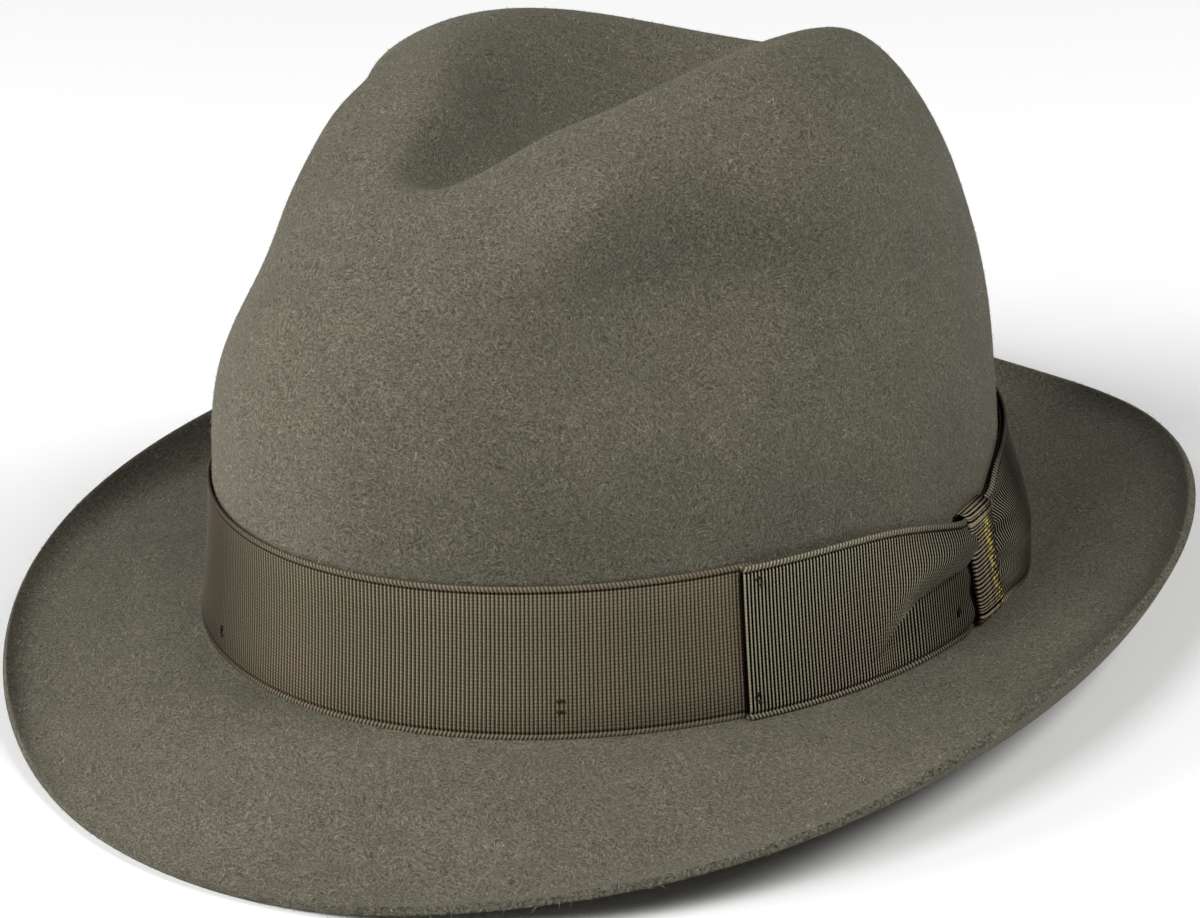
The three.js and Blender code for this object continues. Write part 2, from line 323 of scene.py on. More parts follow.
# A point at an angle and height, a given distance outside the felt, in the hat's frame. All in mm.
def wallAt(angle, height, out):
    s = math.sin(math.radians(angle))
    c = math.cos(math.radians(angle))
    away = outwardAt(angle)
    foot = Vector((crownWall["halfWidth"] * s * (1 - crownWall["egg"] * c), -crownWall["halfLength"] * c, 0))
    start = foot + away * crownWall["startOut"]
    start.z = max(height, crownWall["lowest"])
    found = feltTree.ray_cast(start * mm, -away, crownWall["rayLength"] * mm)[0]
    point = found / mm + away * out
    point.z = height
    return point


# Lengths along the ribbon's path round the crown, from the front, for each half degree.
ribbonPath = {"step": 0.5, "height": 14, "out": 1}
pathStep = ribbonPath["step"]
pathAngles = [i * pathStep for i in range(int(360 / pathStep) + 1)]
pathPoints = [wallAt(angle, ribbonPath["height"], ribbonPath["out"]) for angle in pathAngles]
pathLengths = [0.0]
for before, after in zip(pathPoints, pathPoints[1:]):
    pathLengths.append(pathLengths[-1] + (after - before).length)
roundLength = pathLengths[-1]


def angleAt(length):
    turns, rest = divmod(length, roundLength)
    i = min(max(bisect_left(pathLengths, rest), 1), len(pathLengths) - 1)
    share = (rest - pathLengths[i - 1]) / (pathLengths[i] - pathLengths[i - 1])
    return (i - 1 + share) * pathStep + 360 * turns


def lengthAt(angle):
    i = int(angle / pathStep)
    return lerp(pathLengths[i], pathLengths[i + 1], angle / pathStep - i)


# Ribbed ribbon. u counts ribs along the ribbon, v is millimetres across it from its lower edge.
ribbonWeave = {
    "pitch": 0.91, "ribDepth": 0.36, "height": 34.3, "drop": 0.5, "wall": 0.6, "backInset": 0.3, "bead": 0.79,
    "merge": 0.004,
    "ribProfile": [(0.0, 0.0), (0.25, 0.8), (0.5, 1.0), (0.75, 0.8)],
    # height and rise of the corded edge, then the row of holes beside it
    "edge": [(0.0, -0.25), (0.12, 0.0), (0.35, 0.12), (0.8, 0.14), (1.15, 0.05), (1.3, -0.1), (1.5, -0.3),
             (1.7, -0.1), (1.9, 0.0)],
    "twist": 0.06, "cordWidth": 1.25, "strand": 2.4,
    # the row of holes: its middle, and how far from there it is quite dark and where it ends
    "holeAt": 1.5, "holeCore": 0.16, "holeReach": 0.36,
}
edgeWidth = ribbonWeave["edge"][-1][0]

# The thread, the same in all ribbons here. The cord and the unevenness have a least value and a range.
ribbonThread = {
    "roughness": 0.55, "gloss": 0.2, "sheen": 0.04, "sheenRoughness": 0.35, "bump": 0.2, "cordFade": 0.05,
    "cordShade": (0.08, 0.7), "uneven": (0.65, 0.8), "unevenScale": (0.9, 2.2, 1),
    "toneScale": (0.03, 0.022, 1), "toneRange": (0.38, 0.62),
    "hole": (0.004, 0.004, 0.003, 1), "holeDark": 0.9, "holeOnRib": -0.4,
}

# How far the keeper draws the ribbon's upper edge down.
cinch = {"angle": 108.4, "depth": 8, "ahead": 27, "behind": 20, "keeperWidth": 12.5}
bowLength = lengthAt(cinch["angle"])


def ribbonTopAt(length):
    away = length - bowLength
    return ribbonWeave["height"] - ribbonWeave["drop"] - cinch["depth"] * math.exp(
        -((away / (cinch["ahead"] if away < 0 else cinch["behind"])) ** 2))


# The height of a row of the ribbon. Both corded edges keep their width where it is drawn in.
def heightAt(v, top):
    height = ribbonWeave["height"]
    drop = ribbonWeave["drop"]
    if v > height - edgeWidth:
        return top - (height - v)
    if v < edgeWidth:
        return v - drop
    return lerp(edgeWidth - drop, top - edgeWidth, (v - edgeWidth) / (height - 2 * edgeWidth))


# Rows across the ribbon: its face from the lower edge to the upper one, then the back, and the first again.
def ribbonRows(middleRows):
    height = ribbonWeave["height"]
    inset = ribbonWeave["backInset"]
    lower = ribbonWeave["edge"]
    upper = [(height - v, rise) for v, rise in reversed(lower)]
    face = [(v, rise, True) for v, rise in lower + [(v, 0.0) for v in middleRows] + upper]
    back = [(v, -ribbonWeave["wall"], False) for v in (height - inset, inset)]
    return face + back + [face[0]]


def evenRows(low, high, count):
    return [lerp(low, high, (i + 1) / (count + 1)) for i in range(count)]


# All rows of a ribbon, with even ones between its corded edges.
def plainRows(count):
    return ribbonRows(evenRows(edgeWidth, ribbonWeave["height"] - edgeWidth, count))


def ribRelief(rib, v):
    edge = min(v, ribbonWeave["height"] - v)
    if edge < ribbonWeave["cordWidth"]:  # the twisted cord of the edge
        return ribbonWeave["twist"] * math.cos(2 * math.pi * (rib - edge / ribbonWeave["strand"]))
    share = dict(ribbonWeave["ribProfile"])[rib % 1]
    return ribbonWeave["ribDepth"] * (share - 1)


# A strip of ribs. placeAt gives a point in the hat's frame and the true v there, for u, v and a rise.
def ribbonStrip(name, ribCount, rows, placeAt, closed=False):
    columns = [i + part for i in range(ribCount) for part, _ in ribbonWeave["ribProfile"]]
    columns.append(ribCount)
    deselectAll()
    bpy.ops.mesh.primitive_grid_add(x_subdivisions=len(columns) - 1, y_subdivisions=len(rows) - 1, size=1)
    strip = bpy.context.object
    strip.name = strip.data.name = name
    weave = strip.data.uv_layers[0]
    weave.name = "weave"
    spot = {}
    for vertex in strip.data.vertices:
        i = round((vertex.co.x + 0.5) * (len(columns) - 1))
        j = round((vertex.co.y + 0.5) * (len(rows) - 1))
        u = columns[i]
        v, rise, front = rows[j]
        relief = ribRelief(u, v) if front else 0
        point, across = placeAt(u, v, rise + relief)
        vertex.co = hatToWorld @ (point * mm)
        spot[vertex.index] = (u, across)
    for loop in strip.data.loops:
        weave.data[loop.index].uv = spot[loop.vertex_index]
    editAll(strip)
    bpy.ops.mesh.remove_doubles(threshold=ribbonWeave["merge"] * mm)
    if not closed:  # caps over the two open ends
        bpy.ops.mesh.select_all(action="DESELECT")
        bpy.ops.mesh.select_non_manifold()
        bpy.ops.mesh.fill_holes(sides=0)
    bpy.ops.mesh.select_all(action="SELECT")
    bpy.ops.mesh.normals_make_consistent(inside=False)
    bpy.ops.object.mode_set(mode="OBJECT")
    bpy.ops.object.shade_smooth()
    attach(strip, "root")
    print(name, "faces", len(strip.data.polygons))
    return strip


# Ribs with beads where the fine lengthwise threads cross them, and a dark line of holes by each edge.
def ribbonMaterial(name, look):
    thread = ribbonThread
    material, tree, shader = startMaterial(
        name, Roughness=thread["roughness"], Specular_IOR_Level=thread["gloss"], Sheen_Weight=thread["sheen"],
        Sheen_Roughness=thread["sheenRoughness"], Sheen_Tint=look["sheenTint"])
    weave = addNode(tree, "ShaderNodeUVMap", uv_map="weave").outputs[0]
    parts = addNode(tree, "ShaderNodeSeparateXYZ", {0: weave})
    u, v = parts.outputs[0], parts.outputs[1]
    ribs = waveNode(tree, mathNode(tree, "MULTIPLY", u, 2 * math.pi), -0.5)
    # each rib's beads are shifted a little of their own
    shift = addNode(tree, "ShaderNodeTexWhiteNoise", {"W": mathNode(tree, "FLOOR", u)}, noise_dimensions="1D")
    rows = mathNode(tree, "MULTIPLY_ADD", v, 2 * math.pi / ribbonWeave["bead"], shift.outputs["Value"])
    beaded = mathNode(tree, "MULTIPLY_ADD", waveNode(tree, rows), look["beading"], 1 - look["beading"])

    # the corded edge and the holes beside it
    toEdge = mathNode(tree, "MINIMUM", v, mathNode(tree, "SUBTRACT", look["width"], v))
    cordWidth = ribbonWeave["cordWidth"]
    cord = rangeNode(tree, toEdge, cordWidth - thread["cordFade"], cordWidth + thread["cordFade"], 1.0, 0.0)
    hole = mathNode(tree, "ABSOLUTE", mathNode(tree, "SUBTRACT", toEdge, ribbonWeave["holeAt"]))
    hole = rangeNode(tree, hole, ribbonWeave["holeCore"], ribbonWeave["holeReach"], 1.0, 0.0)
    hole = mathNode(tree, "MULTIPLY", hole, mathNode(tree, "MULTIPLY_ADD", ribs, thread["holeOnRib"], 1.0))
    turned = mathNode(tree, "SUBTRACT", u, mathNode(tree, "DIVIDE", toEdge, ribbonWeave["strand"]))
    twist = waveNode(tree, mathNode(tree, "MULTIPLY", turned, 2 * math.pi))
    twistLit = mathNode(tree, "MULTIPLY_ADD", twist, thread["cordShade"][1], thread["cordShade"][0])
    body = mathNode(tree, "MULTIPLY", ribs, beaded)
    height = addNode(tree, "ShaderNodeMix", {0: cord, 2: body, 3: twist}).outputs[0]

    # light crests over grooves darkened with painted shade, both uneven, in a tone that drifts between olive
    # and brown
    crest = mathNode(tree, "MULTIPLY", rangeNode(tree, ribs, *look["crest"]), beaded)
    crest = addNode(tree, "ShaderNodeMix", {0: cord, 2: crest, 3: twistLit}).outputs[0]
    uneven = noiseNode(tree, stretch(tree, weave, thread["unevenScale"]), Scale=1.0, Detail=2)
    uneven = mathNode(tree, "MULTIPLY_ADD", uneven, thread["uneven"][1], thread["uneven"][0])
    tone = noiseNode(tree, stretch(tree, weave, thread["toneScale"]), Scale=1.0, Detail=1)
    tone = rangeNode(tree, tone, *thread["toneRange"])
    color = mixColors(tree, tone, (*look["olive"], 1), (*look["brown"], 1))
    color = mixColors(tree, mathNode(tree, "MULTIPLY", crest, uneven), (*look["groove"], 1), color)
    color = mixColors(tree, mathNode(tree, "MULTIPLY", hole, thread["holeDark"]), color, thread["hole"])
    # Painted shade: the look's shade darkens the colour towards one end or side.
    if "shade" in look:  # a darker tone towards one end or side
        shade = look["shade"]
        fall = rangeNode(tree, u if shade["along"] else v, shade["dark"], shade["light"], shade["depth"], 1.0,
                         "SMOOTHSTEP")
        color = mixColors(tree, fall, (0, 0, 0, 1), color)
    if "gold" in look:
        color = goldThreads(tree, color, u, v, look["gold"])
    tree.links.new(color, shader.inputs["Base Color"])
    # the grooves between the ribs are dull
    gloss = mathNode(tree, "MULTIPLY", mathNode(tree, "SUBTRACT", crest, hole), thread["gloss"])
    tree.links.new(gloss, shader.inputs["Specular IOR Level"])
    bump = addNode(tree, "ShaderNodeBump", {
        "Height": height, "Distance": thread["bump"] * mm, "Strength": 1.0})
    tree.links.new(bump.outputs[0], shader.inputs["Normal"])
    return material


# Short dashes of gold thread scattered over a narrow strip that runs along the ribbon.
def goldThreads(tree, color, u, v, gold):
    line = mathNode(tree, "MULTIPLY_ADD", u, gold["lean"], gold["at"])
    near = mathNode(tree, "ABSOLUTE", mathNode(tree, "SUBTRACT", v, line))
    near = rangeNode(tree, near, gold["halfWidth"] * gold["core"], gold["halfWidth"], *gold["nearChance"])
    cell = addNode(tree, "ShaderNodeCombineXYZ", {
        0: mathNode(tree, "FLOOR", u),
        1: mathNode(tree, "FLOOR", mathNode(tree, "MULTIPLY", v, gold["thread"]))}).outputs[0]
    chance = addNode(tree, "ShaderNodeTexWhiteNoise", {"Vector": cell}, noise_dimensions="2D")
    chance = mathNode(tree, "ADD", chance.outputs["Value"], near)
    shown = mathNode(tree, "GREATER_THAN", chance, gold["bareShare"])
    onCrest = mathNode(tree, "GREATER_THAN", mathNode(tree, "PINGPONG", u, 0.5), gold["crestFrom"])
    shown = mathNode(tree, "MULTIPLY", shown, onCrest)
    shown = mathNode(tree, "MULTIPLY", shown, mathNode(tree, "LESS_THAN", u, gold["until"]))
    return mixColors(tree, shown, color, (*gold["color"], 1))


# Drawn in where it goes under the keeper, in a few puckers, and flat below it.
def drawnIn(out, away, z, pinch):
    near = math.exp(-((max(away + pinch["start"], 0) / pinch["reach"]) ** 2))
    out -= near * (pinch["depth"] + pinch["pucker"] * math.cos(z / pinch["puckerWidth"] * 2 * math.pi))
    return min(out, pinch["underOut"]) if away < pinch["underFrom"] else out


# The folded end of a wing rolls down to the ribbon.
def rolledDown(out, away, spec):
    tail = (away - spec["length"] + spec["foldRound"]) / spec["foldRound"]
    if tail <= 0:
        return out
    return lerp(spec["foldOut"], out, math.sqrt(max(1 - min(tail, 1) ** 2, 0)))


# The ribbon round the crown.
hatband = {
    "ribs": round(roundLength / ribbonWeave["pitch"]), "out": 1.0, "rows": 4,
    # the angles between which its painted shade lightens, darker from the bow round the back
    "darkFrom": 334, "lightFrom": 6, "paintedShadeDepth": 0.3,
    # how far its upper edge is tucked below the bow's, and over what length
    "tuck": 1.3, "tuckOver": 4, "bowAhead": 74, "bowBehind": 71,
    "look": {"width": ribbonWeave["height"], "olive": (0.225, 0.208, 0.132), "brown": (0.255, 0.198, 0.136),
             "groove": (0.045, 0.038, 0.025), "sheenTint": (0.75, 0.68, 0.6, 1), "beading": 0.5,
             "crest": (0.05, 0.8)}}


def bandRibAt(angle):
    return (lengthAt(angle) - bowLength) / roundLength * hatband["ribs"]


# Painted shade: the ribbon's colour is darker from the bow round the back and lightens towards the front.
hatband["look"]["shade"] = {
    "along": True, "dark": bandRibAt(hatband["darkFrom"]),
    "light": bandRibAt(hatband["lightFrom"]) + hatband["ribs"], "depth": hatband["paintedShadeDepth"]}


def bandPlace(u, v, rise):
    length = u * roundLength / hatband["ribs"] + bowLength
    away = length % roundLength - bowLength
    under = ease(away, -hatband["bowAhead"], hatband["tuckOver"] - hatband["bowAhead"]) * (
        1 - ease(away, hatband["bowBehind"] - hatband["tuckOver"], hatband["bowBehind"]))
    z = heightAt(v, ribbonTopAt(length % roundLength) - hatband["tuck"] * under)
    return wallAt(angleAt(length), z, hatband["out"] + rise), v


ribbon = ribbonStrip("ribbon", hatband["ribs"], plainRows(hatband["rows"]), bandPlace, True)
ribbon.data.materials.append(ribbonMaterial("ribbon round the crown", hatband["look"]))
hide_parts("hatband")
print("ribbon built")

# What both wings' looks share.
bowLook = {"width": ribbonWeave["height"], "groove": (0.003, 0.003, 0.002),
           "sheenTint": (0.75, 0.7, 0.62, 1), "beading": 0.3, "crest": (0.45, 0.95)}

# The front wing: doubled ribbon with a folded front edge, gathered under the keeper along a slanting pleat.
# Lengths run forwards from the keeper's front edge.
frontWing = {
    "length": 69.4, "hidden": 5, "out": 2.75, "foldRound": 0.9, "foldOut": 1.35, "rows": 9, "pitch": 0.885,
    # how high the pleat runs, along the wing, and the rows of the mesh beside it
    "pleat": [(-8, 16.6), (0, 16.6), (3.5, 16.4), (8.5, 15.6), (17.5, 14.2), (27.5, 9.6), (34.5, 5.8),
              (41.5, 3.6), (68.5, 3.6)],
    "pleatRow": 12, "rowGap": 0.15, "pleatRows": [11.2, 11.6, 11.85, 12.0, 12.2, 12.6, 13.1],
    "lowRowsTo": 11.0, "highRowsFrom": 13.4, "extraHighRows": 6,
    # how far the upper layer stands off the lower one and reaches over it
    "step": 1.8, "tuck": 1.6, "stepFades": (18.5, 37.5), "stepRise": (0.35, 1.0), "lip": (-0.6667, 1.1111),
    "sweep": 12, "sweepFades": (11, 37), "bulge": 1.5, "bulgeOver": 6, "bulgeWidth": 5, "bulgeFades": (9, 39),
    "pinch": {"start": 0.5, "reach": 2.3, "depth": 0.5, "pucker": 0.35, "puckerWidth": 8.2,
              "underFrom": -1.2, "underOut": 2.7},
    "middle": 17,  # below this height the weave is counted from the lower edge, above it from the upper one
    # Painted shade: the front wing's colour is darker towards the keeper and lightens along the wing.
    "look": {**bowLook, "olive": (0.4, 0.375, 0.25), "brown": (0.4, 0.345, 0.25),
             "shade": {"along": True, "dark": 6, "light": 44, "depth": 0.42}}}
keeperFront = bowLength - cinch["keeperWidth"] / 2
keeperBack = bowLength + cinch["keeperWidth"] / 2


def frontWingPlace(u, v, rise):
    spec = frontWing
    rib = u * spec["pitch"] - spec["hidden"]
    height = ribbonWeave["height"]
    away = min(rib, spec["length"])
    pleat = lineAt(spec["pleat"], away)
    upper = v >= spec["pleatRow"]
    standing = 1 - ease(away, *spec["stepFades"])  # 1 where the upper layer stands off the lower one
    sweep = spec["sweep"] * (1 - ease(rib, *spec["sweepFades"]))
    # the ribs lean forwards towards the pleat, and on below it where it has ended
    share = max(v - spec["pleatRow"], 0) / (height - edgeWidth - spec["pleatRow"])
    away += sweep * (max(1 - share, 0) ** 2 if upper else 1 - standing)
    length = keeperFront - away
    top = ribbonTopAt(length)
    if v < edgeWidth or v > height - edgeWidth:
        z = heightAt(v, top)
    elif upper:
        z = lerp(pleat, top - edgeWidth, share)
    else:
        lowShare = (v - edgeWidth) / (spec["pleatRow"] - spec["rowGap"] - edgeWidth)
        z = lerp(edgeWidth - ribbonWeave["drop"], pleat + spec["tuck"] * standing, lowShare)
    out = spec["out"] + rise
    if upper:
        lip = ease(v - spec["pleatRow"], *spec["lip"])
        out += spec["step"] * standing * lip * (1 - ease(share, *spec["stepRise"]))
        swell = math.exp(-(((z - pleat - spec["bulgeOver"]) / spec["bulgeWidth"]) ** 2))
        out += spec["bulge"] * swell * (1 - ease(away, *spec["bulgeFades"]))
    out = rolledDown(drawnIn(out, away, z, spec["pinch"]), away, spec)
    across = z + ribbonWeave["drop"] if z < spec["middle"] else z + height - top
    return wallAt(angleAt(length), z, out), across


def frontWingRows():
    spec = frontWing
    low = evenRows(edgeWidth, spec["lowRowsTo"], spec["rows"])
    highCount = spec["rows"] + spec["extraHighRows"]
    high = evenRows(spec["highRowsFrom"], ribbonWeave["height"] - edgeWidth, highCount)
    return ribbonRows(low + spec["pleatRows"] + high)


frontRibs = math.ceil((frontWing["length"] + frontWing["hidden"]) / frontWing["pitch"])
wing = ribbonStrip("bow_front", frontRibs, frontWingRows(), frontWingPlace)
wing.data.materials.append(ribbonMaterial("bow ribbon, front", frontWing["look"]))
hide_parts("bow_front_wing")

# The rear wing: a loop that stands off behind the keeper and lies down towards its end.
rearWing = {
    "length": 66, "hidden": 9, "out": 2.75, "topOut": 2.0, "topFrom": 16, "puff": 3.4, "crest": 0.3,
    "fan": 7, "fanFades": (2, 30), "foldRound": 0.9, "foldOut": 1.35, "rows": 14,
    # soft folds beside the keeper
    "fold": 0.75, "foldWidth": 8.5, "foldSlant": 0.25, "foldStarts": (-1, 2), "foldFades": (2, 20),
    # how far the loop stands off at its lower edge, its middle and its upper edge
    "standOff": [(0, 0.55), (12, 1.0), (22, 0.7), (34.6, 0.0)],
    "pinch": {"start": 0.5, "reach": 3.4, "depth": 0.9, "pucker": 0.45, "puckerWidth": 7.4,
              "underFrom": 0, "underOut": 2.2},
    # Painted shade: its colours are darker than the front wing's, and darker still away from the keeper.
    "look": {**bowLook, "olive": (0.26, 0.245, 0.165), "brown": (0.26, 0.225, 0.16),
             "shade": {"along": True, "dark": 32, "light": 14, "depth": 0.25}}}


def rearWingPlace(u, v, rise):
    spec = rearWing
    height = ribbonWeave["height"]
    rib = u * ribbonWeave["pitch"] - spec["hidden"]
    # the ribs bow away from the keeper between the ribbon's two edges
    bowed = math.sin(math.pi * min(max(v / height, 0), 1)) ** 2
    fan = spec["fan"] * (1 - ease(rib, *spec["fanFades"])) * bowed
    away = min(rib + fan, spec["length"])
    length = keeperBack + away
    z = heightAt(v, ribbonTopAt(length))
    share = min(max(away / spec["length"], 0), 1)
    loop = ease(share, 0, spec["crest"]) * (1 - ease(share, spec["crest"], 1))
    upper = ease(v, spec["topFrom"], height)
    out = lerp(spec["out"], spec["topOut"], upper) + rise + spec["puff"] * loop * lineAt(spec["standOff"], v)
    out += spec["fold"] * math.cos(2 * math.pi * (v + spec["foldSlant"] * away) / spec["foldWidth"]) * (
        1 - ease(away, *spec["foldFades"])) * ease(away, *spec["foldStarts"])
    out = rolledDown(drawnIn(out, away, z, spec["pinch"]), away, spec)
    return wallAt(angleAt(length), z, out), v


rearRibs = math.ceil((rearWing["length"] + rearWing["hidden"]) / ribbonWeave["pitch"])
loop = ribbonStrip("bow_rear", rearRibs, plainRows(rearWing["rows"]), rearWingPlace)
loop.data.materials.append(ribbonMaterial("bow ribbon, rear", rearWing["look"]))
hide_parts("bow_rear_wing")
print("bow wings built")

# The keeper: ribbon wrapped over the bow, its ribs across it. It turns in over both edges of the bow.
keeper = {
    "width": cinch["keeperWidth"], "crown": 0.55, "pitch": 0.95, "length": 28,
    # how it slopes, by the height, and how far back its lower and upper ends sit
    "slope": [(0, -0.05), (8, 0.07), (20, 0.09), (28, 0.03)], "back": (0.9, -0.7),
    # how square its sides are, how far they turn in, and how much of that the hidden face follows
    "squareness": 7, "turnIn": 0.6, "hiddenShare": 0.2,
    # height and distance from the felt along its length, from behind the lower edge to behind the upper one
    "path": [(1.3, 0.7), (0.5, 1.4), (0.3, 2.4), (1.0, 3.5), (3.3, 3.9), (14, 3.8), (24.4, 3.9), (26.5, 3.5),
             (27.2, 2.4), (27.0, 1.2), (26.2, 0.7)],
    # rows across it, as shares of half its width
    "sideRows": [0.78, 0.88, 0.95, 0.985, 1], "middleRows": 7, "middleTo": 0.65, "backTo": 0.9,
    # v starts past a ribbon's width, where the relief is slight. The look's width keeps cord and holes off.
    "vStart": 50,
    # Painted shade: the keeper's colour darkens towards its edge on the rear wing's side.
    "look": {"width": 100.0, "olive": (0.3, 0.25, 0.165), "brown": (0.34, 0.27, 0.19),
             "groove": (0.005, 0.004, 0.003), "sheenTint": (0.8, 0.7, 0.6, 1), "beading": 0.35,
             "crest": (0.25, 0.85), "shade": {"along": False, "dark": 62, "light": 55, "depth": 0.15},
             "gold": {"at": 60.4, "lean": -0.12, "until": 28, "halfWidth": 2.3, "core": 0.3, "thread": 1.9,
                      "nearChance": (0.25, -0.45), "bareShare": 0.62, "crestFrom": 0.2,
                      "color": (0.6, 0.44, 0.1)}}}
keeperPath = keeper["path"]
keeperLengths = [0.0]
for (z0, out0), (z1, out1) in zip(keeperPath, keeperPath[1:]):
    keeperLengths.append(keeperLengths[-1] + math.hypot(z1 - z0, out1 - out0))


# A smooth curve through the path's points, by the length along it.
def keeperAt(length):
    i = min(max(bisect_left(keeperLengths, length), 1), len(keeperLengths) - 1)
    t = (length - keeperLengths[i - 1]) / (keeperLengths[i] - keeperLengths[i - 1])
    t = min(max(t, 0), 1)
    p = [Vector(keeperPath[min(max(k, 0), len(keeperPath) - 1)]) for k in (i - 2, i - 1, i, i + 1)]
    return 0.5 * (2 * p[1] + (p[2] - p[0]) * t + (2 * p[0] - 5 * p[1] + 4 * p[2] - p[3]) * t * t
                  + (3 * p[1] - p[0] - 3 * p[2] + p[3]) * t ** 3)


def keeperPlace(u, v, rise):
    z, out = keeperAt(u * keeper["pitch"])
    half = keeper["width"] / 2
    across = v - keeper["vStart"] - half
    shoulder = math.sqrt(max(1 - abs(across / half) ** keeper["squareness"], 0))
    if rise <= -ribbonWeave["wall"]:  # the back lies flat
        shoulder = keeper["hiddenShare"]
    out += (keeper["crown"] + rise) * shoulder - keeper["turnIn"] * (1 - shoulder)
    up = min(max(z / keeper["length"], 0), 1)
    z += lineAt(keeper["slope"], z) * across
    return wallAt(angleAt(bowLength + across + lerp(*keeper["back"], up)), z, out), v


def keeperRows():
    half = keeper["width"] / 2
    sides = keeper["sideRows"]
    last = keeper["middleRows"] - 1
    middle = [lerp(-keeper["middleTo"], keeper["middleTo"], i / last) for i in range(last + 1)]
    center = keeper["vStart"] + half
    face = [(center + s * half, 0.0, True) for s in [-s for s in reversed(sides)] + middle + sides]
    back = [(center + s * half, -ribbonWeave["wall"], False) for s in (keeper["backTo"], -keeper["backTo"])]
    return face + back + [face[0]]


keeperRibs = round(keeperLengths[-1] / keeper["pitch"])
wrap = ribbonStrip("bow_keeper_ribbon", keeperRibs, keeperRows(), keeperPlace)
wrap.data.materials.append(ribbonMaterial("keeper ribbon", keeper["look"]))
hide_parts("bow_keeper")
print("keeper built")

# Loose hairs of the nap: thin strips of two faces that lie on the felt, all over its outside.
feltHairs = {
    "count": 62000, "shortest": 0.7, "longest": 2.2, "width": 0.085, "widths": (0.6, 1.2), "taper": 0.8,
    "lift": (4, 24), "bend": 0.5, "sink": 0.03, "flowSize": 9, "flowSpread": 0.8, "seed": 11,
    # what the ribbon covers: how far out from the crown's middle, and between which heights
    "coveredTo": 1.005, "covered": (-1, 31),
    "toneScale": 900, "dark": (0.1, 0.092, 0.066, 1), "light": (0.34, 0.32, 0.25, 1)}


def buildFeltHairs():
    spec = feltHairs
    chance = random.Random(spec["seed"])
    mesh = felt.data
    low, high = spec["covered"]
    bare = []
    for polygon in mesh.polygons:
        center = worldToHat @ polygon.center / mm
        away = math.hypot(center.x / crownWall["halfWidth"], center.y / crownWall["halfLength"])
        underRibbon = away < spec["coveredTo"] and low < center.z < high
        if polygon.material_index != feltSides["inside"] and not underRibbon:
            bare.append(polygon)
    points = []
    faces = []
    for polygon in chance.choices(bare, weights=[p.area for p in bare], k=spec["count"]):
        corners = [mesh.vertices[i].co for i in polygon.vertices]
        a, b = chance.random(), chance.random()
        base = corners[0].lerp(corners[1], a).lerp(corners[-1].lerp(corners[2], a), b)
        normal = polygon.normal
        flow = noise.noise(base / (spec["flowSize"] * mm)) * 2 * math.pi + chance.gauss(0, spec["flowSpread"])
        side = normal.orthogonal().normalized()
        heading = side * math.cos(flow) + normal.cross(side) * math.sin(flow)
        lift = math.radians(chance.uniform(*spec["lift"]))
        half = chance.uniform(spec["shortest"], spec["longest"]) * mm / 2
        width = normal.cross(heading) * (spec["width"] * mm / 2 * chance.uniform(*spec["widths"]))
        bend = width.normalized() * chance.uniform(-spec["bend"], spec["bend"])
        middle = base + (heading * math.cos(lift) + normal * math.sin(lift)) * half
        tipHeading = (heading + bend).normalized()
        tip = middle + (tipHeading * math.cos(lift / 3) + normal * math.sin(lift / 3)) * half
        base = base - normal * (spec["sink"] * mm)
        taper = width * spec["taper"]
        start = len(points)
        points += [base - width, base + width, middle - taper, middle + taper, tip]
        faces += [(start, start + 2, start + 3, start + 1), (start + 2, start + 4, start + 3)]
    hairs = bpy.data.objects.new("felt_nap", bpy.data.meshes.new("felt_nap"))
    hairs.data.from_pydata(points, [], faces)
    bpy.context.scene.collection.objects.link(hairs)
    material, tree, shader = startMaterial("loose felt hair", Roughness=0.6, Specular_IOR_Level=0.2)
    place = addNode(tree, "ShaderNodeTexCoord").outputs["Object"]
    tone = noiseNode(tree, place, Scale=spec["toneScale"], Detail=1)
    color = rampOf(tree, tone, [(0.35, spec["dark"]), (0.65, spec["light"])])
    tree.links.new(color, shader.inputs["Base Color"])
    hairs.data.materials.append(material)
    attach(hairs, "root")
    print("felt hairs", len(faces))


buildFeltHairs()

# The tacks that hold the ribbon down: short dark stitches, each a few bars of thread.
# Each has its angle, its height, its distance from the felt and its bars: along, up, length, turn.
tacks = {
    "thread": 0.36, "segments": 8, "rings": 6, "toneScale": 4000,
    "dark": (0.004, 0.004, 0.003, 1), "light": (0.02, 0.019, 0.014, 1),
    "places": [
        {"angle": -19.3, "height": 6.0, "out": 1.15, "bars": [(0, 0, 2.4, 80), (0.5, -1.2, 0.9, 20)]},
        {"angle": 41.5, "height": 7.1, "out": 1.15, "bars": [(0, 1.2, 2.0, 5), (0, -1.2, 2.0, 0)]},
        {"angle": 67.6, "height": 30.2, "out": 3.0, "bars": [(0, 0.6, 1.6, 25), (0.6, -0.9, 1.0, 80)]},
        {"angle": 66.7, "height": 4.6, "out": 3.0, "bars": [(0, 0.6, 1.4, 75), (0.4, -0.9, 1.0, 60)]},
        {"angle": 101.0, "height": 21.0, "out": 3.3, "bars": [(0, 0, 1.8, 70), (0.7, -1.1, 1.0, 20)]},
        {"angle": 100.8, "height": 6.3, "out": 3.0, "bars": [(0, 0, 1.8, 75), (0.5, 1.0, 0.9, 30)]},
    ]}


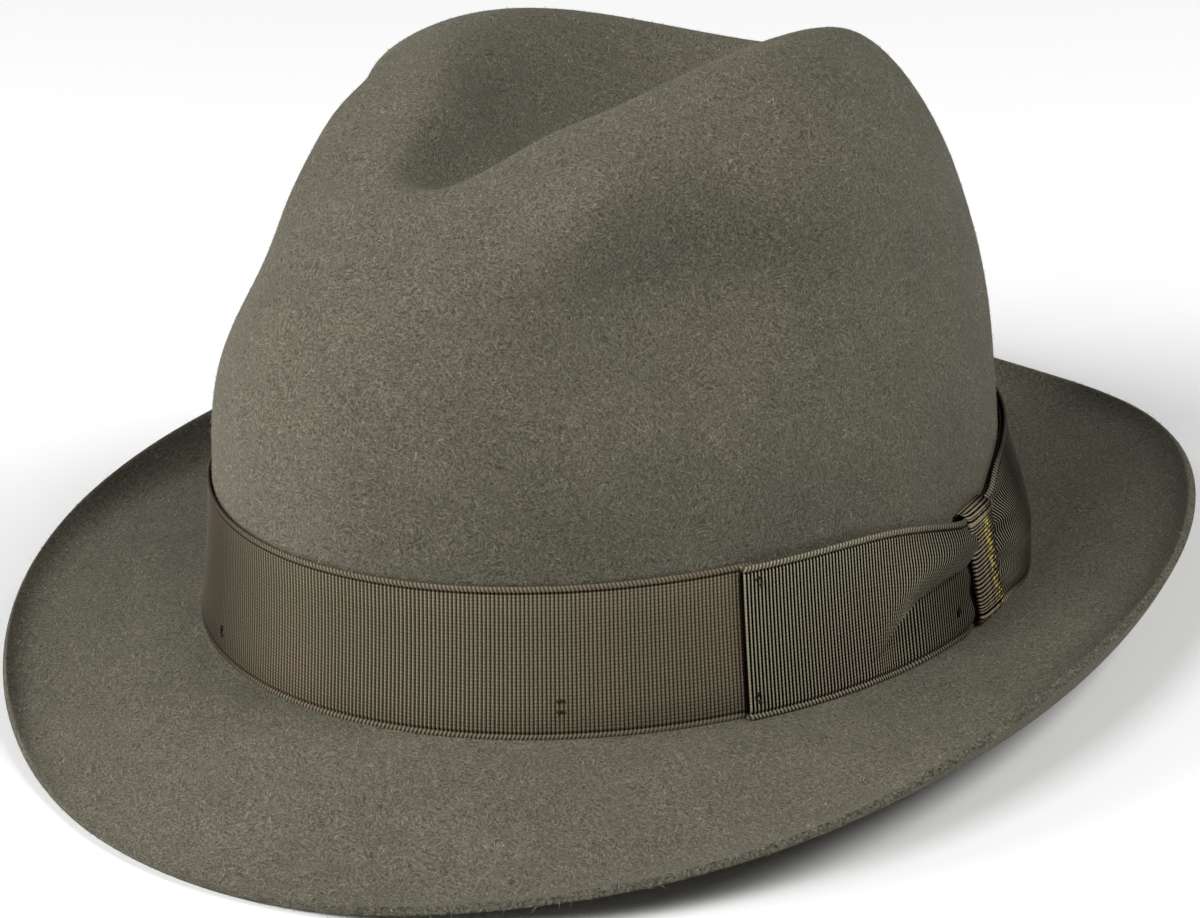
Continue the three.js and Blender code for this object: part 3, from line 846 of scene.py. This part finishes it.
def buildTacks():
    deselectAll()
    bars = []
    for tack in tacks["places"]:
        base = lengthAt(tack["angle"] % 360)
        for along, up, length, turn in tack["bars"]:
            angle = angleAt(base + along)
            center = wallAt(angle, tack["height"] + up, tack["out"])
            away = outwardAt(angle)
            level = Vector((-away.y, away.x, 0))
            t = math.radians(turn)
            heading = level * math.cos(t) + Vector((0, 0, 1)) * math.sin(t)
            turned = hatToWorld.to_3x3() @ heading
            bpy.ops.mesh.primitive_uv_sphere_add(
                segments=tacks["segments"], ring_count=tacks["rings"], radius=1,
                location=hatToWorld @ (center * mm),
                rotation=turned.to_track_quat("Z", "Y").to_euler(),
                scale=(tacks["thread"] * mm, tacks["thread"] * mm, length / 2 * mm))
            bars.append(bpy.context.object)
    deselectAll()
    for bar in bars:
        bar.select_set(True)
    bpy.context.view_layer.objects.active = bars[0]
    bpy.ops.object.join()
    stitches = bpy.context.object
    stitches.name = stitches.data.name = "tack_stitches"
    bpy.ops.object.transform_apply(location=True, rotation=True, scale=True)
    bpy.ops.object.shade_smooth()
    material, tree, shader = startMaterial("tack thread", Roughness=0.7, Specular_IOR_Level=0.2)
    place = addNode(tree, "ShaderNodeTexCoord").outputs["Object"]
    strands = noiseNode(tree, place, Scale=tacks["toneScale"], Detail=1)
    color = rampOf(tree, strands, [(0.3, tacks["dark"]), (0.7, tacks["light"])])
    tree.links.new(color, shader.inputs["Base Color"])
    stitches.data.materials.append(material)
    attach(stitches, "root")


buildTacks()
print("tacks built")

# A pale floor, a dim soft sky and three large lamps: two to the left of the camera and one to its right.
studio = {
    "floor": (0.9, 0.9, 0.9, 1), "floorSize": 30, "sky": (1, 1, 1, 1), "skyStrength": 0.1,
    "lampSize": 0.9, "aimHeight": 0.06,
    "lamps": [
        {"name": "left_high", "place": (-0.144, -1.407, 1.414), "power": 23},
        {"name": "left_low", "place": (-1.23, -1.421, 0.684), "power": 35},
        {"name": "right", "place": (1.235, 0.689, 1.414), "power": 30},
    ]}


def buildStudio():
    deselectAll()
    bpy.ops.mesh.primitive_plane_add(size=studio["floorSize"])
    floor = bpy.context.object
    floor.name = "floor"
    paper = startMaterial("floor paper", Roughness=0.9, Specular_IOR_Level=0.1, Base_Color=studio["floor"])[0]
    floor.data.materials.append(paper)
    for lamp in studio["lamps"]:
        towards = Vector((0, 0, studio["aimHeight"])) - Vector(lamp["place"])
        turn = towards.to_track_quat("-Z", "Y").to_euler()
        bpy.ops.object.light_add(type="AREA", location=lamp["place"], rotation=turn)
        light = bpy.context.object
        light.name = lamp["name"]
        light.data.size = studio["lampSize"]
        light.data.energy = lamp["power"]
    scene = bpy.context.scene
    scene.world = scene.world or bpy.data.worlds.new("studio")
    scene.world.use_nodes = True
    sky = scene.world.node_tree.nodes["Background"]
    sky.inputs[0].default_value = studio["sky"]
    sky.inputs[1].default_value = studio["skyStrength"]
    scene.view_settings.view_transform = "Standard"


buildStudio()
print("studio built")
